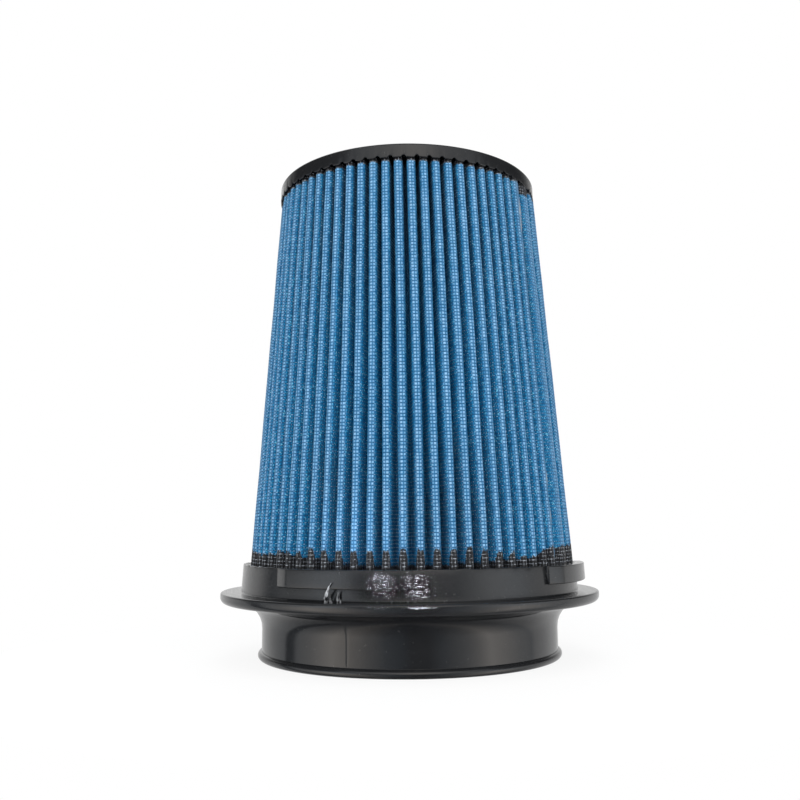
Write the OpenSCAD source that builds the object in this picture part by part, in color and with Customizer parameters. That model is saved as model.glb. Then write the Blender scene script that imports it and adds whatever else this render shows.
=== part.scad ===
// Cone air filter: a tapered pack of pleated, oiled cotton gauze between two
// woven wire screens, potted in a soft moulded cap at the small end and in a
// moulded mounting base with a bayonet ring and a clamp neck at the wide end.
// Millimetres. The base stands on z = 0, the axis is Z, the front is -Y.

/* [Pack] */
// number of pleats round the pack
pleats = 70; // [60:1:74]
// turn of the front pleat's tip from the front, in degrees
first_tip_turn = 2; // [-2.5:0.1:2.5]
// height of the pack's foot above the bottom rim
pack_foot_z = 38.6; // [37:0.2:40]
// height of the pack's head above the bottom rim
pack_head_z = 244; // [200:1:280]
// radius over the pleat tips at the foot
foot_radius = 84.7; // [84:0.1:85.2]
// radius over the pleat tips at the head
head_radius = 69.8; // [66:0.2:72]
// depth of a pleat, from its dirty tip to its clean tip
pleat_depth = 12.3; // [10:0.1:12.5]
// outer radius of each fold
fold_radius = 2.05; // [1.6:0.05:2.2]
// straight pieces round a fold's wide side
fold_steps = 3; // [2:1:4]

/* [Layers] */
// thickness of each woven wire screen
screen_thickness = 0.5; // [0.3:0.05:0.6]
// thickness of the oiled gauze between the screens
media_thickness = 0.9; // [0.6:0.05:1]

/* [Seam] */
// pleat whose flank carries the lapped seam, counted from the front
seam_pleat = 10; // [0:1:59]
// thickness of the lapped seam strip
seam_thickness = 0.6; // [0.4:0.05:0.7]
// part of the flank that the strip stays below the tip, and its end
seam_start = 0.02; // [0:0.01:0.2]
// part of the flank where the strip ends
seam_end = 0.5; // [0.3:0.05:0.6]

/* [End cap] */
// how far the cap stands out over the pleat tips
cap_overhang = 0.6; // [0:0.1:3]
// thickness of the cap above the pack
cap_thickness = 6.5; // [4:0.5:12]
// rounding of the cap's top edge
cap_top_round = 1.1; // [0.4:0.1:3]
// rounding of the cap's lower edge
cap_low_round = 0.6; // [0.2:0.1:0.8]
// depth of the cap's plug inside the pack
plug_depth = 4; // [2:0.5:10]

/* [Neck] */
// radius of the clamped bore
bore_radius = 69.85; // [69:0.05:70]
// outer radius of the neck
neck_radius = 76.7; // [76:0.1:79]
// radius of the bead's half-round section
bead_section = 2.1; // [2:0.1:3.5]
// how far the bead stands out from the neck
bead_stand = 1.9; // [0.8:0.1:2]
// concave rounding between neck and flange
neck_fillet = 13; // [8:0.5:14]

/* [Flange and cup] */
// radius of the flange
flange_radius = 98; // [94:0.5:104]
// underside of the flange
flange_low_z = 28.4; // [24:0.2:29]
// thickness of the flange
flange_thickness = 5.3; // [4.8:0.1:6]
// rounding of the flange's upper edge
flange_top_round = 1; // [0.4:0.1:1.8]
// rounding of the flange's lower edge
flange_low_round = 3; // [1:0.1:3.6]
// outer radius of the cup wall round the pack's foot
wall_radius = 87.1; // [86.2:0.1:88]
// top of the cup wall and of the lugs
wall_top_z = 47.6; // [46:0.2:52]
// rounding of the cup wall's outer edge
wall_round = 0.6; // [0.2:0.1:0.8]

/* [Bayonet lugs] */
// radius over the lugs
lug_radius = 91.4; // [89.5:0.1:93]
// underside of the lugs
lug_low_z = 39.2; // [38:0.2:43]
// number of lugs, each the same turn on from the last
lugs = 3; // [2:1:4]
// turn from one lug to the next, in degrees
lug_spacing = 90; // [50:1:90]
// turn covered by one lug, in degrees
lug_turn = 44; // [30:0.5:46]
// turn covered by a lug's ramp at its leading end, in degrees
ramp_turn = 6; // [1:0.1:8]
// turn of the first lug's leading end from the front, in degrees
lug_start = -43.2; // [-45:0.1:-35]

/* [Fits] */
// clearance round the pack in its groove and on the plug
pack_clearance = 0.3; // [0.1:0.05:0.4]
// clearance between the seam strip and the screen under it
seam_clearance = 0.05; // [0.02:0.01:0.1]

/* [Hidden] */
sheet = media_thickness + 2 * screen_thickness;
pitch = 360 / pleats;
media_out = screen_thickness;
media_in = screen_thickness + media_thickness;
flange_top_z = flange_low_z + flange_thickness;
cap_top_z = pack_head_z + cap_thickness;
cap_radius = head_radius + cap_overhang;
groove_in_radius = foot_radius - pleat_depth - pack_clearance;
groove_out_radius = foot_radius + pack_clearance;
plug_radius = head_radius - pleat_depth - pack_clearance;
plug_chamfer = plug_depth / 4;
bead_centre = neck_radius + bead_stand - bead_section;
cut = 1;
black = [0.13, 0.135, 0.145];
blue = [0.16, 0.45, 0.72];
wire = [0.55, 0.62, 0.68];
cotton = [0.42, 0.62, 0.8];
glue = [0.7, 0.68, 0.62];
$fn = 180;

function polar(r, a) = [r * cos(a), r * sin(a)];

// Turn from the front (-Y) towards +X, as an angle about +Z from +X.
function from_front(turn) = turn - 90;
function tip_turn(i) = from_front(first_tip_turn + i * pitch);

// Centres of the folds of one half pleat whose dirty tip has radius r on the
// +X axis: the dirty fold at the tip and the clean fold half a pitch on.
function dirty_fold(r) = [r - fold_radius, 0];
function clean_fold(r) = polar(r - pleat_depth + fold_radius, pitch / 2);

// Direction of the normal of the flank between those folds. The flank is the
// inner tangent of two circles whose radii always add up to the same sum, so
// the layers' flanks are parallel.
function flank_normal(r) =
    let (step = clean_fold(r) - dirty_fold(r))
    atan2(step[1], step[0]) - acos((2 * fold_radius - sheet) / norm(step));

// One pleat of the surface that lies `depth` under the dirty side, from the
// dirty tip's leading flank round to the clean fold, as points in the plane.
function dirty_arc(r, depth) =
    let (n = flank_normal(r))
    [for (k = [0 : fold_steps])
        dirty_fold(r) + polar(fold_radius - depth, n * (2 * k / fold_steps - 1))];
function clean_arc(r, depth) =
    let (n = flank_normal(r), mid = pitch / 2, steps = fold_steps - 1)
    [for (k = [0 : steps])
        clean_fold(r) - polar(fold_radius - sheet + depth, mid + (n - mid) * (1 - 2 * k / steps))];
function turned(p, a) = [p[0] * cos(a) - p[1] * sin(a), p[0] * sin(a) + p[1] * cos(a)];

// The whole closed outline of that surface at height z.
function ring(r, depth, z) =
    let (one = concat(dirty_arc(r, depth), clean_arc(r, depth)))
    [for (i = [0 : pleats - 1], p = one)
        let (q = turned(p, tip_turn(i)))
        [q[0], q[1], z]];

// A pleated sheet between two depths under the dirty side.
module pleated_layer(depth_out, depth_in) {
    count = pleats * (2 * fold_steps + 1);
    points = concat(
        ring(foot_radius, depth_out, pack_foot_z),
        ring(head_radius, depth_out, pack_head_z),
        ring(foot_radius, depth_in, pack_foot_z),
        ring(head_radius, depth_in, pack_head_z)
    );
    faces = [for (i = [0 : count - 1])
        let (j = (i + 1) % count, a = 0, b = count, c = 2 * count, d = 3 * count)
        each [
            [a + i, b + j, a + j],
            [a + i, b + i, b + j],
            [c + i, c + j, d + j],
            [c + i, d + j, d + i],
            [a + i, a + j, c + j, c + i],
            [b + i, d + i, d + j, b + j]
        ]];
    polyhedron(points, faces, convexity = 10);
}

// Woven wire screen on the dirty side.
module outer_screen() {
    color(wire) pleated_layer(0, media_out);
}

// Layers of oiled cotton gauze.
module filter_media() {
    color(blue) pleated_layer(media_out, media_in);
}

// Woven wire screen on the clean side.
module inner_screen() {
    color(cotton) pleated_layer(media_in, sheet);
}

// Section of the seam strip on one pleat's trailing flank at height z: a thin
// slab laid along the flank, just clear of it.
function seam_section(r, z) =
    let (
        n = flank_normal(r),
        top = dirty_fold(r) + polar(fold_radius + seam_clearance, n),
        bottom = clean_fold(r) - polar(fold_radius - sheet - seam_clearance, n),
        skin = polar(seam_thickness, n),
        a = top + (bottom - top) * seam_start,
        b = top + (bottom - top) * seam_end
    )
    [for (p = [a, a + skin, b + skin, b])
        let (q = turned(p, tip_turn(seam_pleat)))
        [q[0], q[1], z]];

// Lapped edge of the sheet where the pack's two ends meet.
module seam_strip() {
    color(glue)
    polyhedron(
        concat(seam_section(foot_radius, pack_foot_z), seam_section(head_radius, pack_head_z)),
        [
            [0, 1, 2, 3],
            [7, 6, 5, 4],
            [0, 4, 5], [0, 5, 1],
            [1, 5, 6], [1, 6, 2],
            [2, 6, 7], [2, 7, 3],
            [3, 7, 4], [3, 4, 0]
        ]
    );
}

// A disc's half section with both outer corners rounded.
module rounded_plate(r, low, high, low_round, high_round) {
    translate([0, low]) square([r - low_round, high - low - high_round]);
    translate([0, low + low_round]) square([r, high - low - low_round - high_round]);
    translate([0, low + low_round]) square([r - high_round, high - low - low_round]);
    translate([r - low_round, low + low_round]) circle(low_round);
    translate([r - high_round, high - high_round]) circle(high_round);
}

// Closed end: a soft disc that the pack's head butts on, with a plug inside.
module end_cap() {
    color(black)
    rotate_extrude() {
        rounded_plate(cap_radius, pack_head_z, cap_top_z, cap_low_round, cap_top_round);
        polygon([
            [0, pack_head_z - plug_depth],
            [plug_radius - plug_chamfer, pack_head_z - plug_depth],
            [plug_radius, pack_head_z - plug_depth + plug_chamfer],
            [plug_radius, pack_head_z + cut],
            [0, pack_head_z + cut]
        ]);
    }
}

// Half section of the base's solid body: neck, bead, fillet, flange and cup.
module base_section() {
    square([neck_radius, flange_top_z]);
    translate([bead_centre, bead_section]) circle(bead_section);
    square([bead_centre, bead_section]);
    difference() {
        translate([neck_radius - cut, flange_low_z - neck_fillet])
            square([neck_fillet + cut, neck_fillet + cut]);
        translate([neck_radius + neck_fillet, flange_low_z - neck_fillet]) circle(neck_fillet);
    }
    rounded_plate(flange_radius, flange_low_z, flange_top_z, flange_low_round, flange_top_round);
    rounded_plate(wall_radius, flange_low_z, wall_top_z, wall_round, wall_round);
}

// What is cut out of that section: the bore and the groove for the pack.
module base_hollows() {
    translate([0, -cut]) square([bore_radius, wall_top_z + 2 * cut]);
    translate([groove_in_radius, pack_foot_z])
        square([groove_out_radius - groove_in_radius, wall_top_z]);
}

// One bayonet lug: a block on the wall with a ramp at its leading end.
module lug() {
    inside = wall_radius - wall_round - cut;
    outside = lug_radius + cut;
    reach = lug_radius - wall_radius;
    intersection() {
        translate([0, 0, lug_low_z]) cylinder(r = lug_radius, h = wall_top_z - lug_low_z);
        translate([0, 0, lug_low_z - cut])
            linear_extrude(wall_top_z - lug_low_z + 2 * cut)
            difference() {
                polygon([
                    polar(inside, 0),
                    polar(wall_radius, 0),
                    polar(wall_radius + reach * (1 + cut / reach), ramp_turn * (1 + cut / reach)),
                    polar(outside * 1.1, lug_turn / 2),
                    polar(outside, lug_turn),
                    polar(inside, lug_turn)
                ]);
                circle(inside);
            }
    }
}

// Moulded base: clamp neck, flange, cup for the pack's foot, bayonet lugs.
module mounting_base() {
    color(black) {
        rotate_extrude() difference() {
            base_section();
            base_hollows();
        }
        for (i = [0 : lugs - 1])
            rotate([0, 0, from_front(lug_start + i * lug_spacing)]) lug();
    }
}

mounting_base();
end_cap();
outer_screen();
filter_media();
inner_screen();
seam_strip();
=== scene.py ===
import math

import bpy
import numpy as np
from mathutils import Matrix


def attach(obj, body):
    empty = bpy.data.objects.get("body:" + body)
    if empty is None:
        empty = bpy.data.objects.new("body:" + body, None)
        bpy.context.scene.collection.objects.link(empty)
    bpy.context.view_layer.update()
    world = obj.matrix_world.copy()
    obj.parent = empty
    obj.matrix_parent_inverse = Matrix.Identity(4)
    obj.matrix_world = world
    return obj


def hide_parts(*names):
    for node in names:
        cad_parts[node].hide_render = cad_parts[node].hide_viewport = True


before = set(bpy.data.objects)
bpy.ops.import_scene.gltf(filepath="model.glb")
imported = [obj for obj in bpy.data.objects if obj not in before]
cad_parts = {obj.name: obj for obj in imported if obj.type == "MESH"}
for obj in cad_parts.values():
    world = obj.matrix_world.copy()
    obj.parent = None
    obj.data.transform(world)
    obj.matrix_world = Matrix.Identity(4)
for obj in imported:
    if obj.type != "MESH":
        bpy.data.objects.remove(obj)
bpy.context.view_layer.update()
# The part's measures are in millimetres, the studio's in metres, angles in degrees.
MM = 0.001

# The view. The camera stands close in front of the filter, a little above the
# floor, and is tilted up, so the cap's top isn't seen and the flange curves down.
VIEW_DISTANCE = 469.2 * MM
VIEW_HEIGHT = 66.3 * MM
VIEW_TILT = 8.27
VIEW_ROLL = -0.39
VIEW_SENSOR = 36
VIEW_LENS = 39.05
VIEW_SHIFT = -0.01035
VIEW_NEAREST = 0.01

lens = bpy.data.cameras.new("view")
lens.sensor_width = VIEW_SENSOR
lens.lens = VIEW_LENS
lens.shift_x = VIEW_SHIFT
lens.clip_start = VIEW_NEAREST
camera = bpy.data.objects.new("view", lens)
camera.matrix_world = (
    Matrix.Translation((0, -VIEW_DISTANCE, VIEW_HEIGHT))
    @ Matrix.Rotation(math.radians(90 + VIEW_TILT), 4, "X")
    @ Matrix.Rotation(math.radians(VIEW_ROLL), 4, "Z")
)
bpy.context.scene.collection.objects.link(camera)
bpy.context.scene.camera = camera
bpy.context.scene.view_settings.view_transform = "Standard"


# The studio. White paper lies under and behind the filter. The gloss of the
# black mouldings shows the room: a pale back, pale panels to both front sides,
# the dark of the camera between them, and two small lamps low in front.
MIX_FACTOR, MIX_FIRST, MIX_SECOND, MIX_RESULT = 0, 6, 7, 2


def put(nodes, kind, **values):
    """Adds a shader node. A value named after an input fills that input, and any other sets a
    property of the node."""
    node = nodes.new(kind)
    for key, value in values.items():
        label = key.replace("_", " ")
        sockets = [s for s in node.inputs if s.name.lower() == label.lower() and s.enabled]
        if sockets:
            sockets[0].default_value = value
        else:
            setattr(node, key, value)
    return node


def feed(tree, socket, given):
    """Links another node's output to an input, or sets it to a number or a colour's tuple."""
    if isinstance(given, bpy.types.NodeSocket):
        tree.links.new(given, socket)
    elif isinstance(given, tuple):
        socket.default_value = (*given, 1)
    elif given is not None:
        socket.default_value = given


def maths(tree, operation, first, second=None, third=None, clamp=False):
    """Adds a Math node on numbers or other nodes' outputs, and gives its output."""
    node = tree.nodes.new("ShaderNodeMath")
    node.operation = operation
    node.use_clamp = clamp
    for socket, given in zip(node.inputs, (first, second, third)):
        feed(tree, socket, given)
    return node.outputs[0]


def times(tree, product, *factors):
    """The product of outputs and numbers."""
    for factor in factors:
        product = maths(tree, "MULTIPLY", product, factor)
    return product


def step_up(tree, value, low, high):
    """A smooth rise from 0 where value is low to 1 where it is high."""
    node = put(tree.nodes, "ShaderNodeMapRange", interpolation_type="SMOOTHSTEP")
    for name, given in (("Value", value), ("From Min", low), ("From Max", high)):
        feed(tree, node.inputs[name], given)
    return node.outputs["Result"]


def blend_colours(tree, factor, first, second):
    """Mixes two colours, each a tuple or an output, by a number or an output."""
    node = tree.nodes.new("ShaderNodeMix")
    node.data_type = "RGBA"
    feed(tree, node.inputs[MIX_FACTOR], factor)
    feed(tree, node.inputs[MIX_FIRST], first)
    feed(tree, node.inputs[MIX_SECOND], second)
    return node.outputs[MIX_RESULT]


def mix_shaders(tree, factor, first, second):
    """Mixes two shaders' outputs by another output."""
    node = tree.nodes.new("ShaderNodeMixShader")
    for socket, given in zip(node.inputs, (factor, first, second)):
        tree.links.new(given, socket)
    return node.outputs[0]


def ramp(tree, position, stops):
    """A colour ramp from (position, colour) stops, driven by an output."""
    node = tree.nodes.new("ShaderNodeValToRGB")
    elements = node.color_ramp.elements
    for place, colour in stops[1:-1]:
        elements.new(place)
    for element, (place, colour) in zip(elements, stops):
        element.position = place
        element.color = (*colour, 1)
    tree.links.new(position, node.inputs[0])
    return node.outputs[0]


def belt(tree, turn, stops):
    """The room's brightness round the horizon: stops are (turn from the front in degrees, grey,
    warmth), and warmth is the share by which red is raised and blue is lowered."""
    colours = []
    for angle, grey, warm in stops:
        level = grey / BELT_SCALE
        colours.append(((angle + 180) / 360, (level * (1 + warm), level, level * (1 - warm))))
    return ramp(tree, turn, colours)


BELT_SCALE = 2.5
LOW_BELT = [
    (-180, 0.72, 0.0), (-135, 0.82, 0.0), (-108, 0.7, -0.03), (-105, 0.14, -0.08),
    (-98, 0.2, -0.08), (-93, 0.78, -0.03), (-80, 1.15, 0.02), (-60, 2.25, 0.07),
    (-46, 1.65, 0.08), (-32, 0.95, 0.03), (-18, 0.4, -0.1), (-6, 0.2, -0.2),
    (2, 0.04, 0.0), (14, 0.05, 0.0), (24, 0.32, -0.1), (42, 0.85, 0.0),
    (52, 1.35, 0.04), (63, 2.15, 0.06), (74, 1.7, 0.05), (90, 1.0, 0.0),
    (103, 0.68, -0.03), (108, 0.88, 0.0), (130, 0.9, 0.0), (150, 0.78, 0.0),
    (180, 0.72, 0.0),
]
MID_BELT = [
    (-180, 0.75, 0.0), (-117, 0.88, 0.0), (-111, 0.57, -0.03), (-105, 0.15, -0.08),
    (-101, 0.2, -0.08), (-97, 0.6, -0.05), (-79, 0.84, -0.03), (-66, 1.3, -0.05),
    (-59, 1.64, -0.08), (-44, 1.64, -0.08), (-38, 1.15, -0.08), (-34, 0.1, -0.1),
    (-28, 0.17, -0.15), (-6, 0.15, -0.18), (3, 0.14, -0.15), (14, 0.1, -0.1),
    (27, 0.22, -0.1), (34, 0.43, -0.05), (41, 1.0, -0.03), (47, 1.2, -0.03),
    (54, 1.6, -0.03), (73, 1.6, -0.05), (80, 1.3, -0.06), (86, 1.0, -0.03),
    (93, 0.89, 0.0), (106, 0.8, 0.0), (130, 0.8, 0.0), (180, 0.75, 0.0),
]
HIGH_BELT = [
    (-180, 1.05, 0.0), (-155, 0.95, 0.0), (-140, 0.6, 0.0), (-125, 0.22, 0.0),
    (-115, 0.03, 0.0), (-60, 0.05, 0.0), (-52, 0.55, -0.05), (-36, 0.85, -0.02),
    (-12, 1.3, 0.03), (6, 1.78, 0.06), (20, 1.5, 0.03), (33, 0.92, 0.0),
    (50, 0.76, -0.02), (64, 0.58, -0.05), (72, 0.1, 0.0), (122, 0.03, 0.0),
    (136, 0.25, 0.0), (150, 0.6, 0.0), (180, 1.05, 0.0),
]
OVERHEAD = (0.14, 0.14, 0.14)
UNDERFOOT = (0.012, 0.013, 0.015)
# Each part of the room takes over from the one below it between two heights,
# which are the upward part of a ray's direction. Underfoot fades by a slope.
MID_FROM = (-0.125, -0.065)
HIGH_FROM = (-0.02, 0.3)
OVERHEAD_FROM = (0.6, 0.85)
UNDERFOOT_FADE = (-1.47, -0.59)
FILL_COLOUR = (0.96, 0.98, 1, 1)
FILL_POWER = 0.5

world = bpy.data.worlds.new("studio")
bpy.context.scene.world = world
world.use_nodes = True
sky = world.node_tree
sky.nodes.clear()
where = put(sky.nodes, "ShaderNodeTexCoord")
axes = put(sky.nodes, "ShaderNodeSeparateXYZ")
sky.links.new(where.outputs["Generated"], axes.inputs[0])
sideways, inward, upward = axes.outputs
turn = maths(sky, "ARCTAN2", sideways, times(sky, inward, -1.0))
turn = maths(sky, "MULTIPLY_ADD", turn, 0.5 / math.pi, 0.5)
room = belt(sky, turn, LOW_BELT)
for heights, above in (
    (MID_FROM, belt(sky, turn, MID_BELT)),
    (HIGH_FROM, belt(sky, turn, HIGH_BELT)),
    (OVERHEAD_FROM, OVERHEAD),
):
    room = blend_colours(sky, step_up(sky, upward, *heights), room, above)
underfoot = maths(sky, "MULTIPLY_ADD", upward, *UNDERFOOT_FADE, clamp=True)
room = blend_colours(sky, underfoot, room, UNDERFOOT)
ray = put(sky.nodes, "ShaderNodeLightPath")
paper_white = put(sky.nodes, "ShaderNodeBackground", color=(1, 1, 1, 1), strength=1.0)
fill = put(sky.nodes, "ShaderNodeBackground", color=FILL_COLOUR, strength=FILL_POWER)
shown = put(sky.nodes, "ShaderNodeBackground", strength=BELT_SCALE)
sky.links.new(room, shown.inputs[0])
seen = maths(sky, "MAXIMUM", ray.outputs["Is Glossy Ray"], ray.outputs["Is Transmission Ray"])
lighting = mix_shaders(sky, seen, fill.outputs[0], shown.outputs[0])
backdrop = mix_shaders(sky, ray.outputs["Is Camera Ray"], lighting, paper_white.outputs[0])
sky.links.new(backdrop, sky.nodes.new("ShaderNodeOutputWorld").inputs[0])

SPOT_COLOUR = (0.85, 0.9, 1.0)
SPOT_BLEND = 0.3


def lamp(name, place, target, size, power, beam=None):
    """A light at place that faces target: a square soft box that no shiny surface shows or, where
    beam is the angle of its cone in degrees, a round spotlight that shiny surfaces do show."""
    data = bpy.data.lights.new(name, "SPOT" if beam else "AREA")
    if beam:
        data.shadow_soft_size = size / 2
        data.spot_size = math.radians(beam)
        data.spot_blend = SPOT_BLEND
        data.color = SPOT_COLOUR
    else:
        data.size = size
    data.energy = power
    thing = bpy.data.objects.new(name, data)
    ahead = np.array(target, float) - np.array(place, float)
    ahead /= np.linalg.norm(ahead)
    right = np.cross(ahead, (0, 0, 1))
    right /= np.linalg.norm(right)
    up = np.cross(right, ahead)
    thing.matrix_world = Matrix(
        [[right[i], up[i], -ahead[i], place[i]] for i in range(3)] + [[0, 0, 0, 1]]
    )
    thing.visible_glossy = bool(beam)
    bpy.context.scene.collection.objects.link(thing)


MIDDLE = (0, 0, 0.14)
LEFT_FLASH, LEFT_SPOT = (-0.15, -0.57, 0.016), (-0.026, -0.09, 0.058)
RIGHT_FLASH, RIGHT_SPOT = (0.05, -0.58, 0.014), (0.009, -0.09, 0.042)
lamp("left_softbox", (-0.75, -0.85, 0.45), MIDDLE, size=0.6, power=6.0)
lamp("right_softbox", (0.8, -0.8, 0.4), MIDDLE, size=0.6, power=6.0)
lamp("front_softbox", (0.0, -1.2, 0.5), MIDDLE, size=0.8, power=9.0)
lamp("top_softbox", (0.0, -0.35, 1.1), MIDDLE, size=0.6, power=3.5)
lamp("back_softbox", (0.0, 1.0, 0.6), MIDDLE, size=0.8, power=7.0)
lamp("left_flash", LEFT_FLASH, LEFT_SPOT, size=0.03, power=7.5, beam=4.2)
lamp("right_flash", RIGHT_FLASH, RIGHT_SPOT, size=0.028, power=2.2, beam=4.0)


def surface_material(name, **values):
    """A material with its Principled shader's plain sockets set, and the tree and shader to
    build on."""
    material = bpy.data.materials.new(name)
    material.use_nodes = True
    shader = material.node_tree.nodes["Principled BSDF"]
    for key, value in values.items():
        shader.inputs[key.replace("_", " ")].default_value = value
    return material, material.node_tree, shader


def paint(tree, shader, **outputs):
    """Links outputs to the shader's inputs that they are named after."""
    for key, output in outputs.items():
        tree.links.new(output, shader.inputs[key.replace("_", " ")])


PAPER_GREY = (0.86, 0.86, 0.86, 1)
PAPER_GLOW = 0.88
FLOOR_RADIUS = 0.22
FLOOR_LEVEL = -0.0002
FLOOR_SIDES = 96

paper, tree, matte = surface_material("white_paper", Base_Color=PAPER_GREY, Roughness=0.9)
glow = put(tree.nodes, "ShaderNodeEmission", color=(1, 1, 1, 1), strength=1.0)
ray = put(tree.nodes, "ShaderNodeLightPath")
bright = times(tree, ray.outputs["Is Camera Ray"], PAPER_GLOW)
lit_paper = mix_shaders(tree, bright, matte.outputs[0], glow.outputs[0])
tree.links.new(lit_paper, tree.nodes["Material Output"].inputs[0])

floor_mesh = bpy.data.meshes.new("floor")
floor_turns = np.linspace(0, 2 * np.pi, FLOOR_SIDES, endpoint=False)
floor_points = FLOOR_RADIUS * np.stack([np.cos(floor_turns), np.sin(floor_turns)], 1)
floor_mesh.from_pydata(
    [(x, y, FLOOR_LEVEL) for x, y in floor_points.tolist()], [], [list(range(FLOOR_SIDES))]
)
floor_mesh.materials.append(paper)
floor = bpy.data.objects.new("floor", floor_mesh)
floor.visible_glossy = False
bpy.context.scene.collection.objects.link(floor)


# The mounting base. One soft black polyurethane casting: a clamp neck with a
# bead, a round-edged flange, a cup cast round the foot of the pleated pack and
# three bayonet lugs. The mould left a parting line and a torn bit of flash.
BORE = 69.85
NECK = 76.7
BEAD_CENTRE = 76.5
BEAD = 2.1
BEAD_TOP = 2 * BEAD
FILLET = 13.0
FLANGE = 98.0
FLANGE_LOW = 28.4
FLANGE_TOP = 33.7
FLANGE_LOW_ROUND = 3.0
FLANGE_TOP_ROUND = 1.0
WALL = 87.1
WALL_DRAFT = 0.45
WALL_TOP = 47.6
WALL_INSIDE = 84.9
POTTING = 47.0
LUG = 91.4
LUG_LOW = 39.2
LUG_TOP = WALL_TOP - 0.03
LUG_DRAFT = 0.2
LUG_ROOT = WALL - 1.2
LUG_ROUND = 0.55
LUG_TURN = 44.0
LUG_STARTS = (-43.2, 46.8, 136.8)
RAMP_TURN = 6.0
RAMP_START = 0.46
RAMP_STEPS = np.array([0.0, 0.06, 0.2, 0.4, 0.6, 0.8, 0.9, 0.96, 1.0, 1.04, 1.1])
RAMP_DIP, RAMP_DIP_WIDTH = 0.06, 0.1
ARC_STEP = 0.2
BASE_STEP = 0.6
BASE_SPACING = 2.5
LUG_SPACING = 3.0
LUG_STATIONS = 40


def around(radius, turn):
    """Points at a radius and a turn from the front (-Y) towards +X, in degrees."""
    angle = np.radians(turn)
    return radius * np.sin(angle), -radius * np.cos(angle)


def rounded_path(corners, spacing):
    """An outline through (r, z, rounding) corners: each corner becomes an arc that touches both
    its sides, and straight stretches get points at the given spacing. The first and last stay
    sharp."""
    spots = [np.array(corners[0][:2], float)]
    for before, here, after in zip(corners, corners[1:], corners[2:]):
        corner = np.array(here[:2], float)
        back = np.array(before[:2]) - corner
        on = np.array(after[:2]) - corner
        back /= np.linalg.norm(back)
        on /= np.linalg.norm(on)
        half = math.acos(np.clip(back @ on, -1, 1)) / 2
        reach = here[2] / math.tan(half)
        middle = corner + (back + on) / np.linalg.norm(back + on) * here[2] / math.sin(half)
        start, end = corner + back * reach - middle, corner + on * reach - middle
        sweep = math.atan2(start[0] * end[1] - start[1] * end[0], start @ end)
        steps = max(2, int(abs(sweep) / ARC_STEP))
        for k in range(steps + 1):
            c, s = math.cos(sweep * k / steps), math.sin(sweep * k / steps)
            turned = np.array([c * start[0] - s * start[1], s * start[0] + c * start[1]])
            spots.append(middle + turned)
    spots.append(np.array(corners[-1][:2], float))
    path = [spots[0]]
    for spot in spots[1:]:
        gap = np.linalg.norm(spot - path[-1])
        count = max(1, int(math.ceil(gap / spacing)))
        path += [path[-1] + (spot - path[-1]) * (k + 1) / count for k in range(count)]
    return np.array(path)


def grid_faces(rows, columns, close_rows, close_columns):
    """Quads of a grid of points, row by row, each turned so that columns x rows points outward."""
    i = np.arange(rows if close_rows else rows - 1)[:, None]
    j = np.arange(columns if close_columns else columns - 1)[None, :]
    up, on = (i + 1) % rows, (j + 1) % columns
    corners = [i * columns + j, i * columns + on, up * columns + on, up * columns + j]
    return np.stack(corners, -1).reshape(-1, 4)


def tube_faces(rows, columns):
    """Faces of a grid whose rows are closed rings, with one face over each end."""
    ring = np.arange(columns)
    ends = [ring[::-1], (rows - 1) * columns + ring]
    return [*grid_faces(rows, columns, False, True), *ends]


def joined(parts):
    """The points and faces of several (grid of points, faces) parts, as those of one mesh."""
    points, faces, start = [], [], 0
    for grid, own_faces in parts:
        points.append(grid.reshape(-1, 3))
        faces += [np.asarray(face) + start for face in own_faces]
        start += len(points[-1])
    return np.concatenate(points), faces


def piece(name, points, faces, material, body="root"):
    """Makes a smooth mesh object in metres from points in millimetres, and sets it on its body."""
    mesh = bpy.data.meshes.new(name)
    places = (np.asarray(points).reshape(-1, 3) * MM).tolist()
    mesh.from_pydata(places, [], [list(map(int, face)) for face in faces])
    mesh.polygons.foreach_set("use_smooth", np.ones(len(mesh.polygons), bool))
    mesh.materials.append(material)
    mesh.update()
    thing = bpy.data.objects.new(name, mesh)
    bpy.context.scene.collection.objects.link(thing)
    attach(thing, body)
    return thing


def lathe(path, turns, push, lift):
    """The path turned round Z at the given turns. push and lift add to each point's radius and
    height."""
    turns = turns[None, :]
    radius = np.repeat(path[:, :1], turns.size, 1)
    level = np.repeat(path[:, 1:], turns.size, 1)
    radius = radius + push(radius, level, turns)
    level = level + lift(radius, level, turns)
    x, y = around(radius, turns)
    return np.stack([x, y, level], -1)


def ripple(turn, seed, waves, size):
    """A smooth repeating wave round the part: a sum of seeded sines with the given numbers of
    waves."""
    rng = np.random.default_rng(seed)
    parts = [rng.normal() * np.sin(np.radians(turn * n) + rng.uniform(0, 6.28)) for n in waves]
    return size * sum(parts) / math.sqrt(len(waves))


bead_turn = np.radians(np.linspace(-90, 80, 14))
bead_path = np.stack([BEAD_CENTRE + BEAD * np.cos(bead_turn), BEAD + BEAD * np.sin(bead_turn)], 1)
# Two close rings keep the crease over the bead sharp.
crease = np.array([(NECK, BEAD_TOP - 0.1), (NECK, BEAD_TOP + 0.05)])
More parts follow.
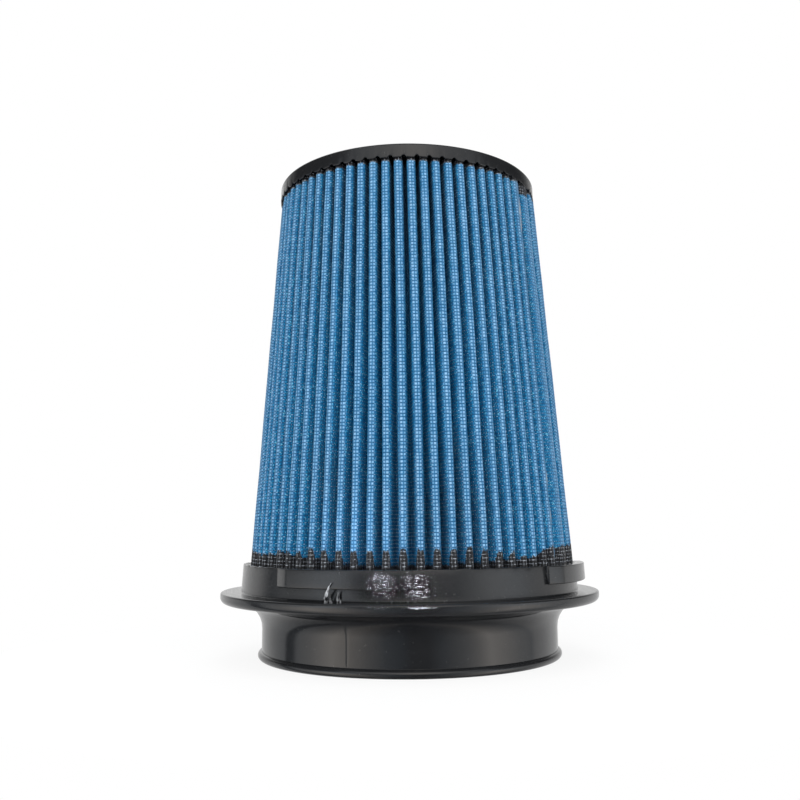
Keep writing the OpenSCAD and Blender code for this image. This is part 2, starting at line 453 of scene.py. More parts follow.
# Radius, height and rounding of each corner, from over the crease, by the
# flange, the cup's rim and the bore, to the bead's underside.
BASE_CORNERS = [
    (NECK, BEAD_TOP + 0.3, 0),
    (NECK, FLANGE_LOW, FILLET),
    (FLANGE, FLANGE_LOW, FLANGE_LOW_ROUND),
    (FLANGE, FLANGE_TOP, FLANGE_TOP_ROUND),
    (WALL + WALL_DRAFT, FLANGE_TOP, 0.7),
    (WALL - WALL_DRAFT, WALL_TOP, 0.6),
    (WALL_INSIDE, WALL_TOP, 0.5),
    (WALL_INSIDE - 0.4, POTTING, 0.3),
    (BORE, POTTING, 0.8),
    (BORE, 0, 0.8),
    (BEAD_CENTRE - 1, 0, 0.1),
]
outer_path = rounded_path(BASE_CORNERS, BASE_SPACING)[:-1]
base_path = np.concatenate([bead_path, crease, outer_path])

# The parting line runs up the neck: a ridge and a shallow groove beside it,
# each with its rise, its distance from the line's turn and its width.
PARTING_TURN = 360 - 21.8
PARTING_LINE = ((0.22, 0.0, 0.17), (-0.1, 0.45, 0.3))
# Heights between which the line fades in at its foot, and out at its head,
# and between which the waves and the rim's unevenness set in.
LINE_FOOT, LINE_HEAD = (4.5, 6), (25, 23)
WAVES_FROM = (3, 7)
RIM_FROM = (46.9, 47.4)
# Seed, numbers of waves round the part, and size.
WALL_WAVES = (3, range(5, 16), 0.05)
RIM_WAVES = (5, range(9, 60), 0.16)
RIM_BURRS = (6, range(60, 140, 3), 0.1)
# Outer surfaces lie outside the first radius, cup wall and flange outside the second.
OUTER_FROM, CUP_FROM = 74, 84
line_turns = PARTING_TURN + np.linspace(-BASE_STEP, BASE_STEP, 25)
base_turns = np.concatenate([np.arange(0, 360, BASE_STEP), line_turns])
base_turns = np.unique(np.round(base_turns, 4))


def fade(level, none, full):
    """0 up to the level none, rising evenly to 1 at full. The levels may also fall."""
    return np.clip((level - none) / (full - none), 0, 1)


def base_push(radius, level, turn):
    """Parting line on the neck, and the slight waves of a soft casting on neck and cup wall."""
    off = (turn - PARTING_TURN) * np.pi / 180 * NECK
    on_neck = (radius < CUP_FROM) * (radius > OUTER_FROM)
    on_line = fade(level, *LINE_FOOT) * fade(level, *LINE_HEAD)
    line = sum(rise * np.exp(-(((off - away) / width) ** 2)) for rise, away, width in PARTING_LINE)
    waves = ripple(turn, *WALL_WAVES) * (radius > OUTER_FROM)
    return on_line * on_neck * line + waves * fade(level, *WAVES_FROM)


def base_lift(radius, level, turn):
    """The cup's rim rises and falls a little, with small burrs."""
    on_rim = fade(level, *RIM_FROM) * (radius > CUP_FROM)
    return on_rim * (ripple(turn, *RIM_WAVES) + ripple(turn, *RIM_BURRS))


def lug_grid(start):
    """One lug: a rounded section from the wall outward, swept round the axis. Its reach grows
    over the ramp at the leading end, with a slight dip where the ramp ends, and the trailing end
    closes on sections drawn in by its rounding."""
    unit = rounded_path(
        [
            (LUG_ROOT, LUG_LOW, 0),
            (LUG + LUG_DRAFT, LUG_LOW, LUG_ROUND),
            (LUG - LUG_DRAFT, LUG_TOP, LUG_ROUND),
            (LUG_ROOT, LUG_TOP, 0),
        ],
        LUG_SPACING,
    )
    end = start + LUG_TURN
    end_turn = LUG_ROUND / LUG * 180 / np.pi
    stations = np.concatenate(
        [
            start + RAMP_TURN * RAMP_STEPS,
            np.linspace(start + RAMP_TURN + 1.5, end - 2, LUG_STATIONS),
            end - end_turn * (1 - np.sin(np.radians(np.linspace(0, 90, 6)))),
        ]
    )
    on_ramp = np.clip((stations - start) / RAMP_TURN, 0, 1)
    soft_ramp = on_ramp - RAMP_DIP * np.exp(-(((on_ramp - 1) / RAMP_DIP_WIDTH) ** 2))
    past = np.clip((stations - end + end_turn) / end_turn, 0, 1)
    draw_in = LUG_ROUND * (1 - np.sqrt(1 - past**2))
    out = unit[:, :1] - LUG_ROOT
    radius = LUG_ROOT + out * (RAMP_START + (1 - RAMP_START) * soft_ramp) - draw_in * (out > 0)
    middle = (LUG_LOW + WALL_TOP) / 2
    level = unit[:, 1:] + (middle - unit[:, 1:]) * (draw_in / (middle - LUG_LOW))
    x, y = around(radius, stations[None, :])
    return np.stack([x, y, level], -1)


def lug_faces(rows, columns):
    """Quads of a lug's swept section, closed towards the wall, and its two ends."""
    first = np.arange(rows) * columns
    return [*grid_faces(rows, columns, True, False), first, (first + columns - 1)[::-1]]


FIN_RINGS = 7
FIN_SIDES = 10
FIN_POINT = 0.03
FIN_TAPER = 0.8
FIN_CURL = 1.5
# Turn, foot, tip, half width, thickness, lean, stand-off and bow of each fin.
FINS = (
    (-24.4, 33.4, 42.4, 1.3, 0.6, 4.4, 2.2, 3.0),
    (-22.9, 33.4, 38.0, 0.9, 0.6, 1.4, 2.6, 1.0),
    (-20.7, 33.4, 39.0, 1.2, 0.9, 0.6, 1.2, 0.6),
    (-22.0, 33.4, 35.4, 0.6, 0.5, -0.4, 3.4, 0.6),
    (-19.6, 33.4, 35.2, 0.6, 0.5, 0.6, 2.6, 0.4),
)
# How pale the torn surface of each fin is.
FIN_PALENESS = (1.0, 0.3, 0.3, 0.3, 0.3)


def fin_grid(turn, foot, tip, half_width, thick, lean, stand, bow):
    """A torn fin of flash: a flat cone whose oval section shrinks from its foot, which stands off
    the wall, to its tip, which leans sideways by lean and outward by bow."""
    share = np.linspace(0, 1, FIN_RINGS)[:, None]
    angle = np.linspace(0, 2 * np.pi, FIN_SIDES, endpoint=False)[None, :]
    size = (1 - share) ** FIN_TAPER * (1 - FIN_POINT) + FIN_POINT
    across = half_width * size * np.cos(angle) + lean * share**FIN_CURL
    out = WALL + stand + (thick * size * np.sin(angle)) + bow * share
    level = foot + (tip - foot) * share + 0 * angle
    x, y = around(out, turn + np.degrees(across / WALL))
    return np.stack([x, y, level], -1)


base_grid = lathe(base_path, base_turns, base_push, base_lift)
base_parts = [(base_grid, grid_faces(*base_grid.shape[:2], True, True))]
for start in LUG_STARTS:
    grid = lug_grid(start)
    base_parts.append((grid, lug_faces(*grid.shape[:2])))
for fin in FINS:
    base_parts.append((fin_grid(*fin), tube_faces(FIN_RINGS, FIN_SIDES)))
base_points, base_faces = joined(base_parts)


def attribute(tree, name):
    """A number stored on the mesh."""
    return put(tree.nodes, "ShaderNodeAttribute", attribute_name=name).outputs["Fac"]


def object_axes(tree):
    """The three Object coordinates, in metres."""
    place = put(tree.nodes, "ShaderNodeTexCoord")
    axes = put(tree.nodes, "ShaderNodeSeparateXYZ")
    tree.links.new(place.outputs["Object"], axes.inputs[0])
    return axes.outputs


def object_noise(tree, scale, detail=2.0, roughness=0.5, stretch=(1, 1, 1)):
    """Noise on Object coordinates, in waves per metre."""
    spot = put(tree.nodes, "ShaderNodeTexCoord")
    squeeze = put(tree.nodes, "ShaderNodeMapping")
    squeeze.inputs["Scale"].default_value = stretch
    noise = put(
        tree.nodes, "ShaderNodeTexNoise", scale=scale, detail=detail, roughness=roughness
    )
    tree.links.new(spot.outputs["Object"], squeeze.inputs["Vector"])
    tree.links.new(squeeze.outputs[0], noise.inputs["Vector"])
    return noise.outputs["Fac"]


def relief(tree, height, strength, distance, under=None):
    """The normal of a bumpy surface, laid over the one whose normal is under."""
    node = put(tree.nodes, "ShaderNodeBump", strength=strength, distance=distance)
    tree.links.new(height, node.inputs["Height"])
    if under is not None:
        tree.links.new(under, node.inputs["Normal"])
    return node.outputs[0]


DUST = 0.15
DUST_GREY = (0.16, 0.16, 0.155)
BLACK_DEEP = (0.0085, 0.009, 0.01)
BLACK_PALE = (0.0125, 0.013, 0.014)
TORN_GREY = (0.4, 0.41, 0.43)
FAINT_GRAIN = 0.06


def cast_urethane(name, grain_low, grain_high):
    """Soft black polyurethane: slow waves in its gloss, a little dust, pale streaks where it is
    torn, and an orange-peel grain that is strong where the mould was left rough, above the height
    grain_high, and faint below grain_low."""
    material, tree, shader = surface_material(name, IOR=1.5)
    height = object_axes(tree)[2]
    mottle = object_noise(tree, 120, 3.0)
    specks = object_noise(tree, 1100, 0.0)
    dusty = times(tree, step_up(tree, specks, 0.8, 0.84), DUST)
    black = blend_colours(tree, mottle, BLACK_DEEP, BLACK_PALE)
    dusty_black = blend_colours(tree, dusty, black, DUST_GREY)
    streaks = step_up(tree, object_noise(tree, 900, 1.0, 0.5, (1, 1, 0.35)), 0.42, 0.6)
    torn = times(tree, attribute(tree, "torn"), streaks)
    colour = blend_colours(tree, torn, dusty_black, TORN_GREY)
    rough = maths(tree, "MULTIPLY_ADD", mottle, 0.08, 0.045)
    rough_mould = step_up(tree, height, grain_low * MM, grain_high * MM)
    strength = maths(tree, "MULTIPLY_ADD", rough_mould, 1 - FAINT_GRAIN, FAINT_GRAIN)
    grain = times(tree, object_noise(tree, 2500, 0.0), strength)
    waves = relief(tree, object_noise(tree, 30, 1.0), 0.35, 0.6 * MM)
    normal = relief(tree, grain, 0.6, 0.08 * MM, waves)
    paint(tree, shader, Base_Color=colour, Roughness=rough, Normal=normal)
    return material


base_material = cast_urethane("black_urethane_base", 30, 34)
base = piece("cast_base", base_points, base_faces, base_material)
fin_torn = np.repeat(FIN_PALENESS, FIN_RINGS * FIN_SIDES)
torn = np.concatenate([np.zeros(len(base_points) - len(fin_torn)), fin_torn]).astype(np.float32)
base.data.attributes.new("torn", "FLOAT", "POINT").data.foreach_set("value", torn)
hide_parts("mounting_base")


# The pleated pack. Woven wire, oiled cotton gauze and woven wire again are
# folded together into 70 tapered pleats and cast into base and cap. The blue
# gauze swells through the wires, and black resin has soaked in at both ends.
PLEATS = 70
PITCH = 360 / PLEATS
FOOT, HEAD = 38.6, 244.0
FOOT_RADIUS, HEAD_RADIUS = 84.7, 69.8
PLEAT_DEPTH = 12.3
FOLD = 2.05
SHEET = 1.9
CELLS = 14
CELL_HEIGHT = 1.625
FIRST_TIP = -2.65
TWIST = 1.25
TWIST_CURVE = 1.7
SWAY_LENGTH = 65
BUCKLE = 0.1
WIDE_PLEAT = 12
# How far the pack stands to the right of the base's axis, by height.
PACK_OFFSET = ((FOOT, HEAD), (1.15, 0.35))
# How far the pleats are crowded on round the pack, by their even turn.
CROWDING = (
    (0, 10, 25, 33, 41, 46, 51.4, 56.6, 59.1, 61.7, 64.3, 66.9, 72, 90, 180, 310, 360),
    (0, 0.1, 0.25, 0.4, 0.2, 0, -0.2, -0.5, 1.1, 4.9, 7.7, 7.2, 5.8, 4.3, 0, -0.3, 0),
)
# How high the resin soaked up over the cup's rim by turn, how much less high
# in the folds, the depths between which a fold begins, and how far the resin
# came down from the head, everywhere and at the seam.
SOAK = ((0, 20, 48, 57, 90, 180, 300, 335, 360), (8.6, 8.6, 5, 9, 9, 7, 6, 8.4, 8.6))
SOAK_DROP = ((0, 20, 45, 90, 180, 315, 340, 360), (7, 7, 1, 1, 3, 1, 6, 7))
FOLD_FROM = (0.03, 0.15)
HEAD_SOAK = 2.2
SEAM_SOAK = 4.5
pleat_rng = np.random.default_rng(11)
tip_shift = pleat_rng.normal(0, 0.1, PLEATS)
tip_sway = pleat_rng.normal(0, 0.12, PLEATS)
tip_reach = pleat_rng.normal(0, 0.14, PLEATS)
wire_shift = pleat_rng.uniform(-0.3, 0.3, PLEATS)
soak_shift = pleat_rng.normal(0, 0.7, PLEATS)
cell_counts = np.where(np.arange(PLEATS) == WIDE_PLEAT, 2 * CELLS, CELLS)
first_cell = np.concatenate([[0], np.cumsum(cell_counts)])


def tip_radius(level):
    """Radius over the pleat tips: a straight cone from foot to head."""
    return FOOT_RADIUS + (HEAD_RADIUS - FOOT_RADIUS) * (level - FOOT) / (HEAD - FOOT)


def round_tips(values, nominal):
    """Values given at the pleat tips, joined by straight lines round the pack."""
    places = np.arange(-1, PLEATS + 1)
    return np.interp(nominal, places * PITCH, values[places % PLEATS])


def pleat_turn(nominal, level):
    """Where a pleat that was laid out evenly really stands: the pack is twisted a little towards
    its head, the pleat after the seam is a wide one, and each one strays a little."""
    sway = np.sin((level - FOOT) / SWAY_LENGTH)
    stray = round_tips(tip_shift, nominal) + round_tips(tip_sway, nominal) * sway
    crowd = np.interp(nominal % 360, *CROWDING)
    share = np.clip((level - FOOT) / (HEAD - FOOT), 0, 1)
    return nominal + FIRST_TIP - TWIST * share**TWIST_CURVE + crowd + stray


def off_centre(level):
    """How far the pack stands to the right of the base's axis."""
    return np.interp(level, *PACK_OFFSET)


def pleat_section(radius, depth, arc_steps, flank_steps, inner_steps):
    """One pleat of the surface `depth` under the dirty side, as (outward, sideways) pairs per row.
    The tip is an arc round the dirty fold, the valley an arc round the clean fold, and the flanks
    are the straight inner tangents of the two fold circles. radius is the tip's on each row."""
    half = np.radians(PITCH / 2)
    centre = radius - FOLD
    inner = radius - PLEAT_DEPTH + FOLD
    step_x, step_y = inner * np.cos(half) - centre, inner * np.sin(half)
    normal = np.arctan2(step_y, step_x)
    normal = normal - np.arccos((2 * FOLD - SHEET) / np.hypot(step_x, step_y))
    share = np.linspace(0, 1, arc_steps + 1)[None, :]
    angle = normal[:, None] * share
    bend = FOLD - depth
    arc = np.stack([centre[:, None] + bend * np.cos(angle), bend * np.sin(angle)], -1)
    share = np.linspace(0, 1, inner_steps + 1)[None, :]
    angle = normal[:, None] * (1 - share) + half * share
    bowl = FOLD - SHEET + depth
    valley = np.stack(
        [
            (inner * np.cos(half))[:, None] - bowl * np.cos(angle),
            (inner * np.sin(half))[:, None] - bowl * np.sin(angle),
        ],
        -1,
    )
    share = (np.arange(1, flank_steps) / flank_steps)[None, :, None]
    flank = arc[:, -1:] * (1 - share) + valley[:, :1] * share
    half_pleat = np.concatenate([arc, flank, valley], 1)
    mirror = half_pleat[:, -2:0:-1] * np.array([1, -1])
    return np.concatenate([mirror, half_pleat], 1)


def pleated_sheet(levels, depth, arc_steps, flank_steps, inner_steps):
    """The whole pleated surface: points (rows, columns, 3), and per column its place along the
    folded sheet in wire cells and how deep it lies in its pleat, 0 at the tip and 1 in the valley.
    The section is turned and pushed at each level as the real pleats stand."""
    radius = tip_radius(levels)
    section = pleat_section(radius, depth, arc_steps, flank_steps, inner_steps)
    flat = section[len(levels) // 2]
    steps = np.diff(np.concatenate([flat, flat[:1] * [1, -1]]), axis=0)
    steps = np.linalg.norm(steps, axis=1)
    along = np.concatenate([[0], np.cumsum(steps)])[:-1] / steps.sum()
    tips = np.arange(PLEATS)[None, :, None]
    reach = np.hypot(section[..., 0], section[..., 1])
    fold = np.clip((radius[:, None] - reach) / PLEAT_DEPTH, 0, 1)[len(levels) // 2]
    sideways = np.degrees(np.arctan2(section[..., 1], section[..., 0]))
    nominal = tips * PITCH + sideways[:, None, :]
    level = levels[:, None, None]
    buckle = BUCKLE * np.sin(level / 9 + tips * 2.4) * np.sin(level / 31 + tips)
    reach = reach[:, None, :] + round_tips(tip_reach, nominal) + buckle
    x, y = around(reach, pleat_turn(nominal, level))
    points = np.stack([x + off_centre(level), y, level + 0 * x], -1)
    cells = first_cell[:-1, None] + along * cell_counts[:, None] + wire_shift[:, None]
    return points.reshape(len(levels), -1, 3), cells.reshape(-1), np.tile(fold, PLEATS)


def pleated_layer(name, levels, depths, steps, material):
    """A closed pleated sheet between two depths: the dirty surface, the clean one turned round,
    and the two end strips that join them. Its UV map counts wire cells round and up the sheet,
    and it stores the height over the foot's resin and under the head's, and the fold's depth."""
    outside, cells, fold = pleated_sheet(levels, depths[0], *steps)
    inside = pleated_sheet(levels, depths[1], *steps)[0]
    rows, columns = outside.shape[:2]
    count = rows * columns
    out_faces = grid_faces(rows, columns, False, True)
    in_faces = out_faces[:, ::-1] + count
    j = np.arange(columns)
    on = (j + 1) % columns
    low = np.stack([count + j, count + on, on, j], 1)
    top = (rows - 1) * columns
    high = np.stack([top + j, top + on, count + top + on, count + top + j], 1)
    faces = np.concatenate([out_faces, in_faces, low, high])
    points = np.concatenate([outside.reshape(-1, 3), inside.reshape(-1, 3)])
    thing = piece(name, points, faces, material)
    mesh = thing.data
    uv = mesh.uv_layers.new(name="weave")
    column = faces % columns
    row = (faces % count) // columns
    wraps = (column == 0) & (column.max(1, keepdims=True) == columns - 1)
    across = cells[column] + np.where(wraps, first_cell[-1], 0)
    up = levels[row] / CELL_HEIGHT
    uv.data.foreach_set("uv", np.stack([across, up], -1).reshape(-1).astype(np.float32))
    pleat = j * PLEATS / columns - 0.5
    turn = pleat * PITCH
    seam_pleat = np.exp(-(((pleat - WIDE_PLEAT) / 0.5) ** 4))
    in_fold = fade(fold, *FOLD_FROM)
    foot_line = WALL_TOP + round_tips(soak_shift, turn) + np.interp(turn % 360, *SOAK)
    foot_line = foot_line - np.interp(turn % 360, *SOAK_DROP) * in_fold
    head_line = HEAD - HEAD_SOAK - 0.3 * round_tips(soak_shift, turn) - SEAM_SOAK * seam_pleat
    stored = {
        "above_foot": levels[:, None] - foot_line,
        "below_head": head_line - levels[:, None],
        "fold_depth": np.tile(fold, (rows, 1)),
    }
    for key, values in stored.items():
        both = np.tile(values.reshape(-1), 2).astype(np.float32)
        mesh.attributes.new(key, "FLOAT", "POINT").data.foreach_set("value", both)
    return thing


def flipped(tree, mask):
    """1 where a mask is 0, and 0 where it is 1."""
    return maths(tree, "SUBTRACT", 1.0, mask)


def weave_group():
    """Woven wire over swollen gauze, from a UV that counts cells: wires run along whole numbers.
    It gives masks of wire, of the gauze's swelling in each cell and of the wire's knuckles, a
    number that is different in each cell, one that is different at each crossing, and a height."""
    group = bpy.data.node_groups.new("wire_over_gauze", "ShaderNodeTree")
    group.interface.new_socket("Cells", in_out="INPUT", socket_type="NodeSocketVector")
    group.interface.new_socket("Wire width", in_out="INPUT", socket_type="NodeSocketFloat")
    names = ("Wire", "Swell", "Knuckle", "Cell", "Crossing", "Height")
    for name in names:
        group.interface.new_socket(name, in_out="OUTPUT", socket_type="NodeSocketFloat")
    given = group.nodes.new("NodeGroupInput")
    result = group.nodes.new("NodeGroupOutput")
    parts = put(group.nodes, "ShaderNodeSeparateXYZ")
    group.links.new(given.outputs["Cells"], parts.inputs[0])
    u, v = parts.outputs[0], parts.outputs[1]
    u_wire, v_wire = maths(group, "ROUND", u), maths(group, "ROUND", v)
    du = maths(group, "ABSOLUTE", maths(group, "SUBTRACT", u, u_wire))
    dv = maths(group, "ABSOLUTE", maths(group, "SUBTRACT", v, v_wire))
    edge = given.outputs["Wire width"]
    wide = times(group, edge, 1.5)
    across = flipped(group, step_up(group, du, edge, maths(group, "ADD", edge, 0.035)))
    along = flipped(group, step_up(group, dv, wide, maths(group, "ADD", wide, 0.05)))
    wire = maths(group, "MAXIMUM", times(group, across, 0.55), along)
    random = []
    for operation in ("FLOOR", "ROUND"):
        spot = put(group.nodes, "ShaderNodeCombineXYZ")
        group.links.new(maths(group, operation, u), spot.inputs[0])
        group.links.new(maths(group, operation, v), spot.inputs[1])
        dice = put(group.nodes, "ShaderNodeTexWhiteNoise", noise_dimensions="2D")
        group.links.new(spot.outputs[0], dice.inputs["Vector"])
        random.append(dice.outputs["Value"])
    round_across = flipped(group, step_up(group, du, 0.0, 0.15))
    round_along = flipped(group, step_up(group, dv, 0.0, 0.15))
    swell = times(group, step_up(group, du, 0.03, 0.36), step_up(group, dv, 0.04, 0.36))
    over = maths(group, "COSINE", times(group, maths(group, "ADD", v, u_wire), math.pi))
    under = maths(group, "COSINE", times(group, maths(group, "ADD", u, v_wire), math.pi))
    up_wire = times(group, round_across, maths(group, "MULTIPLY_ADD", over, 0.25, 0.7))
    side_wire = times(group, round_along, maths(group, "MULTIPLY_ADD", under, -0.25, 0.7))
    ridge = maths(group, "MAXIMUM", up_wire, side_wire)
    up_knuckle = times(group, across, step_up(group, over, 0.3, 0.95))
    side_knuckle = times(group, along, step_up(group, times(group, under, -1.0), 0.3, 0.95))
    knuckle = maths(group, "MAXIMUM", up_knuckle, side_knuckle)
    height = maths(group, "MAXIMUM", ridge, times(group, swell, 0.8))
    for name, value in zip(names, (wire, swell, knuckle, *random, height)):
        group.links.new(value, result.inputs[name])
    return group


WEAVE = weave_group()
WIRE_WIDTH = 0.05
TIP_PALE = (0.21, 0.375, 0.56)
TIP_MIDDLE = (0.03, 0.155, 0.31)
FLANK_PALE = (0.01, 0.19, 0.38)
FLANK_DEEP = (0.003, 0.07, 0.19)
FLANK_GLINT_SPECK = (0.13, 0.4, 0.55)
FOLD_SHADE = (0.02, 0.032, 0.045)
WIRE_NAVY = (0.008, 0.06, 0.14)
WIRE_GLINT = (0.27, 0.47, 0.66)
WIRE_FRONT_GLINT = (0.36, 0.42, 0.55)
RESIN = (0.01, 0.01, 0.011)
RESIN_THIN = (0.055, 0.06, 0.07)
WIRE_BARE_AND_GLINT = (0.52, 0.56, 0.62)
# In metres: the heights between which the folds take painted shade towards the cap, those
# between which the low folds' painted shade and their wires' painted glints fade out, and how
# far beside the middle these reach.
SHADED_FROM = (0.13, 0.23)
GLINT_FADE_HEIGHTS = (0.02, 0.08)
GLINT_WITHIN = (0.025, 0.055)


def screen_material(name, pale, middle):
    """Wire screen over blue gauze. Over the tips the gauze is paler and swells through the
    wires, and down in the folds it is a deeper blue: painted light on the tips and painted shade
    in the folds. The folds carry painted glints as pale flecks and bright knuckles, and painted
    shade that darkens them towards the cap. Low in the middle the folded wires carry bright
    painted glints over painted shade. Resin has soaked the ends black round uncovered wire whose
    knuckle dots are partly painted glints."""
    material, tree, shader = surface_material(name, IOR=1.4, Specular_IOR_Level=0.3)
    strands = object_noise(tree, 5200, 1.0)
    blotch = object_noise(tree, 75, 3.0, 0.6, (1, 1, 0.35))
    uneven = object_noise(tree, 620, 0.0)
    specks = object_noise(tree, 1250, 1.0, 0.6, (1, 1, 0.8))
    fold = attribute(tree, "fold_depth")
    aside, _, height = object_axes(tree)

    shift = maths(tree, "MULTIPLY_ADD", object_noise(tree, 420, 1.0), 0.3, -0.15)
    bend = put(tree.nodes, "ShaderNodeCombineXYZ")
    tree.links.new(shift, bend.inputs[0])
    tree.links.new(shift, bend.inputs[1])
    uv = put(tree.nodes, "ShaderNodeUVMap", uv_map="weave")
    cells = put(tree.nodes, "ShaderNodeVectorMath", operation="ADD")
    tree.links.new(uv.outputs[0], cells.inputs[0])
    tree.links.new(bend.outputs[0], cells.inputs[1])
    weave = put(tree.nodes, "ShaderNodeGroup", node_tree=WEAVE)
    weave.inputs["Wire width"].default_value = WIRE_WIDTH
    tree.links.new(cells.outputs[0], weave.inputs["Cells"])
    wire, swell, knuckle, own_cell, crossing, woven_height = weave.outputs

    # The cells are paler in their swollen middles and darker by the wires: painted light on the
    # swelling and painted shade by the wires, with uneven tone at random.
    tone = maths(tree, "MULTIPLY_ADD", uneven, 0.4, maths(tree, "SUBTRACT", swell, 0.3))
    for variation, weight in ((blotch, 0.3), (strands, 0.16), (own_cell, 0.5)):
        lowered = maths(tree, "SUBTRACT", tone, weight / 2)
        tone = maths(tree, "MULTIPLY_ADD", variation, weight, lowered, clamp=True)
    on_tip = blend_colours(tree, tone, middle, pale)
    flecked = step_up(tree, specks, 0.35, 0.65)
    flank_tone = maths(tree, "MULTIPLY_ADD", flecked, 0.5, times(tree, tone, 0.5))
    on_flank = blend_colours(tree, flank_tone, FLANK_DEEP, FLANK_PALE)
    # Pale specks on the flanks are painted glints of the wires.
    on_flank = blend_colours(tree, step_up(tree, specks, 0.6, 0.7), on_flank, FLANK_GLINT_SPECK)
    # The tips are painted paler and the folds a deeper blue: painted light on the tips and painted
    # shade in the folds.
    deep = step_up(tree, maths(tree, "MULTIPLY_ADD", blotch, 0.03, fold), 0.005, 0.11)
    gauze = blend_colours(tree, deep, on_tip, on_flank)
    # The folds get painted shade towards the cap.
    shaded = times(tree, step_up(tree, fold, 0.05, 0.3), step_up(tree, height, *SHADED_FROM))
    gauze = blend_colours(tree, times(tree, shaded, 0.8), gauze, FOLD_SHADE)
    # Low in the middle, deep in the folds, the gauze gets painted shade and its wires painted
    # glints.
    above_glints = step_up(tree, maths(tree, "MULTIPLY_ADD", blotch, -0.08, height), *GLINT_FADE_HEIGHTS)
    beside = step_up(tree, maths(tree, "ABSOLUTE", aside), *GLINT_WITHIN)
    low_glint_and_shade = times(tree, deep, flipped(tree, maths(tree, "MAXIMUM", above_glints, beside)))
    gauze = blend_colours(tree, times(tree, low_glint_and_shade, 0.35), gauze, FOLD_SHADE)

    ragged = maths(tree, "MULTIPLY_ADD", object_noise(tree, 900, 2.0), 4.0, -2.0)
    above = maths(tree, "ADD", attribute(tree, "above_foot"), ragged)
    below = maths(tree, "ADD", attribute(tree, "below_head"), times(tree, ragged, 0.6))
    clean = times(tree, step_up(tree, above, -0.4, 0.4), step_up(tree, below, -0.4, 0.4))
    soaked = flipped(tree, clean)
    # Bright knuckle dots in the resin are uncovered wire, partly painted glints.
    rubbed_and_glint = times(tree, step_up(tree, crossing, 0.1, 0.7), knuckle)
    worn_and_glint = step_up(tree, specks, 0.5, 0.62)
    rubbed_and_glint = maths(tree, "MULTIPLY_ADD", worn_and_glint, 0.5, rubbed_and_glint, clamp=True)
    bare_and_glint = blend_colours(tree, rubbed_and_glint, RESIN_THIN, WIRE_BARE_AND_GLINT)

    # Knuckles in the folds get painted glints, brighter low in the middle.
    glint = times(tree, step_up(tree, crossing, 0.1, 0.8), knuckle, deep)
    glinting_wire = times(tree, low_glint_and_shade, step_up(tree, crossing, -0.2, 0.7), knuckle)
    wire_colour = blend_colours(tree, glint, WIRE_NAVY, WIRE_GLINT)
    wire_colour = blend_colours(tree, glinting_wire, wire_colour, WIRE_FRONT_GLINT)
    wire_colour = blend_colours(tree, soaked, wire_colour, bare_and_glint)
    colour = blend_colours(tree, wire, blend_colours(tree, soaked, gauze, RESIN), wire_colour)
    shine = maths(tree, "MULTIPLY_ADD", low_glint_and_shade, 0.5, times(tree, soaked, 0.4))
    metal = maths(tree, "MULTIPLY", wire, shine, clamp=True)
    rough = maths(tree, "MULTIPLY_ADD", wire, -0.3, 0.65)
    rough = maths(tree, "MULTIPLY_ADD", soaked, -0.1, rough)
    raised = maths(tree, "MULTIPLY_ADD", strands, 0.12, woven_height)
    normal = relief(tree, raised, 0.7, 0.3 * MM)
    paint(tree, shader, Base_Color=colour, Metallic=metal, Roughness=rough, Normal=normal)
    return material


pack_levels = np.concatenate([[FOOT], np.linspace(46, 240, 24), [HEAD]])
coarse_levels = np.linspace(FOOT, HEAD, 12)
fine_steps, coarse_steps = (5, 3, 3), (4, 2, 4)
outer_material = screen_material("wire_over_blue_gauze", TIP_PALE, TIP_MIDDLE)
outer = pleated_layer("dirty_side_screen", pack_levels, (0.0, 0.5), fine_steps, outer_material)
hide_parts("outer_screen")
inner_material = screen_material("wire_over_clean_gauze", TIP_MIDDLE, FLANK_PALE)
inner = pleated_layer(
    "clean_side_screen", coarse_levels, (1.4, SHEET), coarse_steps, inner_material
)
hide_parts("inner_screen")

gauze_material, tree, shader = surface_material("oiled_cotton", Roughness=0.75, Sheen_Weight=0.4)
threads = object_noise(tree, 3000, 2.0, 0.5, (1, 1, 0.3))
colour = blend_colours(tree, threads, FLANK_DEEP, FLANK_PALE)
paint(tree, shader, Base_Color=colour, Normal=relief(tree, threads, 0.5, 0.2 * MM))
gauze = pleated_layer("gauze_plies", coarse_levels, (0.55, 1.35), coarse_steps, gauze_material)
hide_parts("filter_media")


# The seam. Where the two ends of the pleated sheet meet, their cut edges are
# lapped and glued, and stand as a thin pale strip beside the widest pleat.
SEAM_ROUTE = (
    (FOOT, 85, 107, 147, 190, 220, 232, HEAD),
    (55.2, 55.1, 54.8, 53.7, 54.2, 55.3, 55.8, 54.6),
)
SEAM_INSET = 0.45
SEAM_LEAN = 0.13
SEAM_PALE = (0.3, 0.32, 0.32)
SEAM_BLUE = (0.04, 0.14, 0.27)
# Outward and sideways from the strip's edge, in millimetres.
SEAM_SECTION = np.array(
    [(0.0, -0.13), (0.0, 0.13), (-2.0, 0.16), (-5.5, 0.0), (-5.5, -0.34), (-2.0, -0.2)]
)
seam_levels = np.linspace(FOOT + 0.5, HEAD - 0.2, 70)[:, None]
seam_waver = 0.12 * np.sin(seam_levels / 4.1) * np.sin(seam_levels / 17)
seam_turn = np.interp(seam_levels, *SEAM_ROUTE) + seam_waver
seam_edge = tip_radius(seam_levels) - SEAM_INSET + 0.2 * np.sin(seam_levels / 2.7)
seam_radius = seam_edge + SEAM_SECTION[:, 0]
seam_bend = SEAM_SECTION[:, 1] + SEAM_SECTION[:, 0] * SEAM_LEAN
x, y = around(seam_radius, seam_turn + np.degrees(seam_bend / seam_radius))
seam_points = np.stack([x + off_centre(seam_levels), y, seam_levels + 0 * x], -1)
seam_faces = tube_faces(*seam_points.shape[:2])
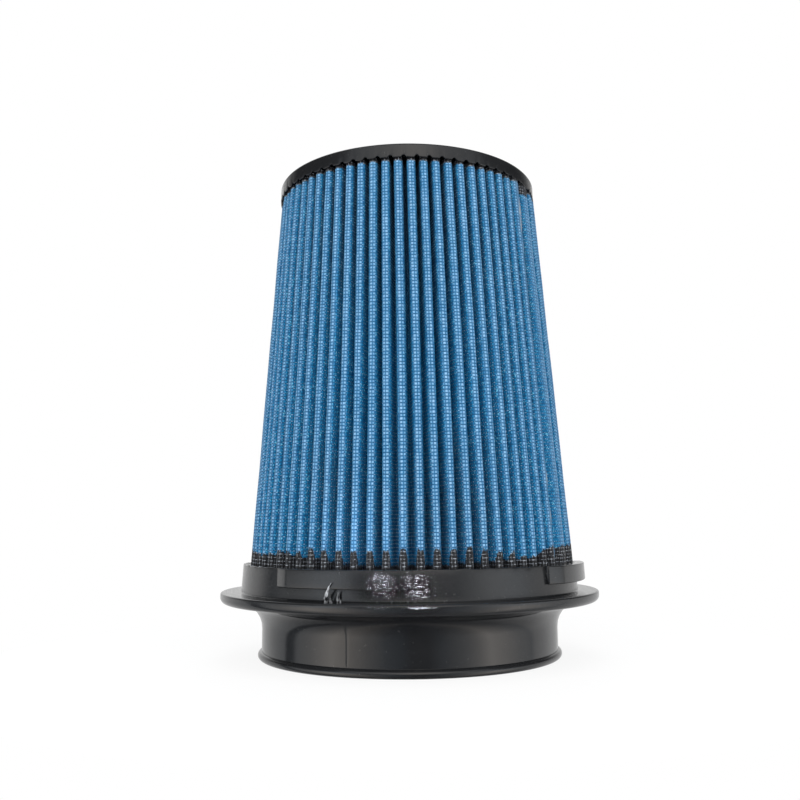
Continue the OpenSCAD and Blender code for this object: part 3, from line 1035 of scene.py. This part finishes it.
seam_material, tree, shader = surface_material("glued_seam", Roughness=0.5, IOR=1.45)
stain = object_noise(tree, 260, 3.0, 0.6, (1, 1, 0.4))
colour = blend_colours(tree, step_up(tree, stain, 0.3, 0.6), SEAM_PALE, SEAM_BLUE)
paint(tree, shader, Base_Color=colour, Normal=relief(tree, stain, 0.4, 0.2 * MM))
seam = piece("lapped_seam", seam_points, seam_faces, seam_material)
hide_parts("seam_strip")


# The end cap. A black polyurethane disc cast over the head of the pack. Its
# lower edge hangs over the pleat tips and rises in a small round hollow over
# each valley.
CAP = 70.4
CAP_TOP = 250.5
CAP_SKIRT = 243.3
CAP_UNDER = HEAD + 1.5
PLUG = 57.2
PLUG_LOW = HEAD - 4
CAP_SPACING = 6.0
STEPS_PER_PLEAT = 16
HOLLOW_RISE = 1.1
HOLLOW_HALF = 1.15
# Heights between which the hollows and drips set in, the radii outside which
# they and the rim's waves lie, and each ripple's seed, waves and size.
SKIRT_FROM = (CAP_SKIRT + 2.2, CAP_SKIRT)
SKIRT_INSIDE = CAP - 1.3
RIM_INSIDE = CAP - 1
RIM_SWELL = (8, range(3, 11), 0.05)
DRIPS = (9, range(20, 110, 3), 0.16)
# Radius, height and rounding of each corner, from the middle of the plug's
# face to the middle of the top.
CAP_CORNERS = [
    (0.0, PLUG_LOW, 0),
    (PLUG, PLUG_LOW, 1.0),
    (PLUG, CAP_UNDER, 0.5),
    (CAP - 1.2, CAP_UNDER, 0.4),
    (CAP - 0.9, CAP_SKIRT, 0.3),
    (CAP, CAP_SKIRT, 0.4),
    (CAP, CAP_TOP, 1.1),
    (0.0, CAP_TOP, 0),
]
cap_path = rounded_path(CAP_CORNERS, CAP_SPACING)[1:-1]
cap_turns = np.arange(0, 360, 360 / (PLEATS * STEPS_PER_PLEAT))
valley_turns = pleat_turn((np.arange(PLEATS) + 0.5) * PITCH, HEAD)


def cap_lift(radius, level, turn):
    """Half-round hollows in the skirt's lower edge over the valleys, and a slightly uneven drip
    line."""
    gaps = (turn - valley_turns[:, None] + 180) % 360 - 180
    gap = np.abs(gaps).min(0)[None, :] * np.pi / 180 * CAP
    hollow = HOLLOW_RISE * np.sqrt(np.clip(1 - (gap / HOLLOW_HALF) ** 2, 0, 1))
    on_skirt = fade(level, *SKIRT_FROM) * (radius > SKIRT_INSIDE)
    return (hollow + ripple(turn, *DRIPS)) * on_skirt


def cap_push(radius, level, turn):
    """Slow waves of the casting in the rim."""
    return -np.abs(ripple(turn, *RIM_SWELL)) * (radius > RIM_INSIDE)


cap_grid = lathe(cap_path, cap_turns, cap_push, cap_lift)
rows, columns = cap_grid.shape[:2]
cap_points = np.concatenate([cap_grid.reshape(-1, 3), [[0, 0, PLUG_LOW], [0, 0, CAP_TOP]]])
bottom, top = rows * columns, rows * columns + 1
last = (rows - 1) * columns
cap_faces = list(grid_faces(rows, columns, False, True))
cap_faces += [[bottom, (j + 1) % columns, j] for j in range(columns)]
cap_faces += [[last + j, last + (j + 1) % columns, top] for j in range(columns)]
cap_material = cast_urethane("black_urethane_cap", 0, 1)
cap = piece("cast_cap", cap_points, cap_faces, cap_material)
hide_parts("end_cap")
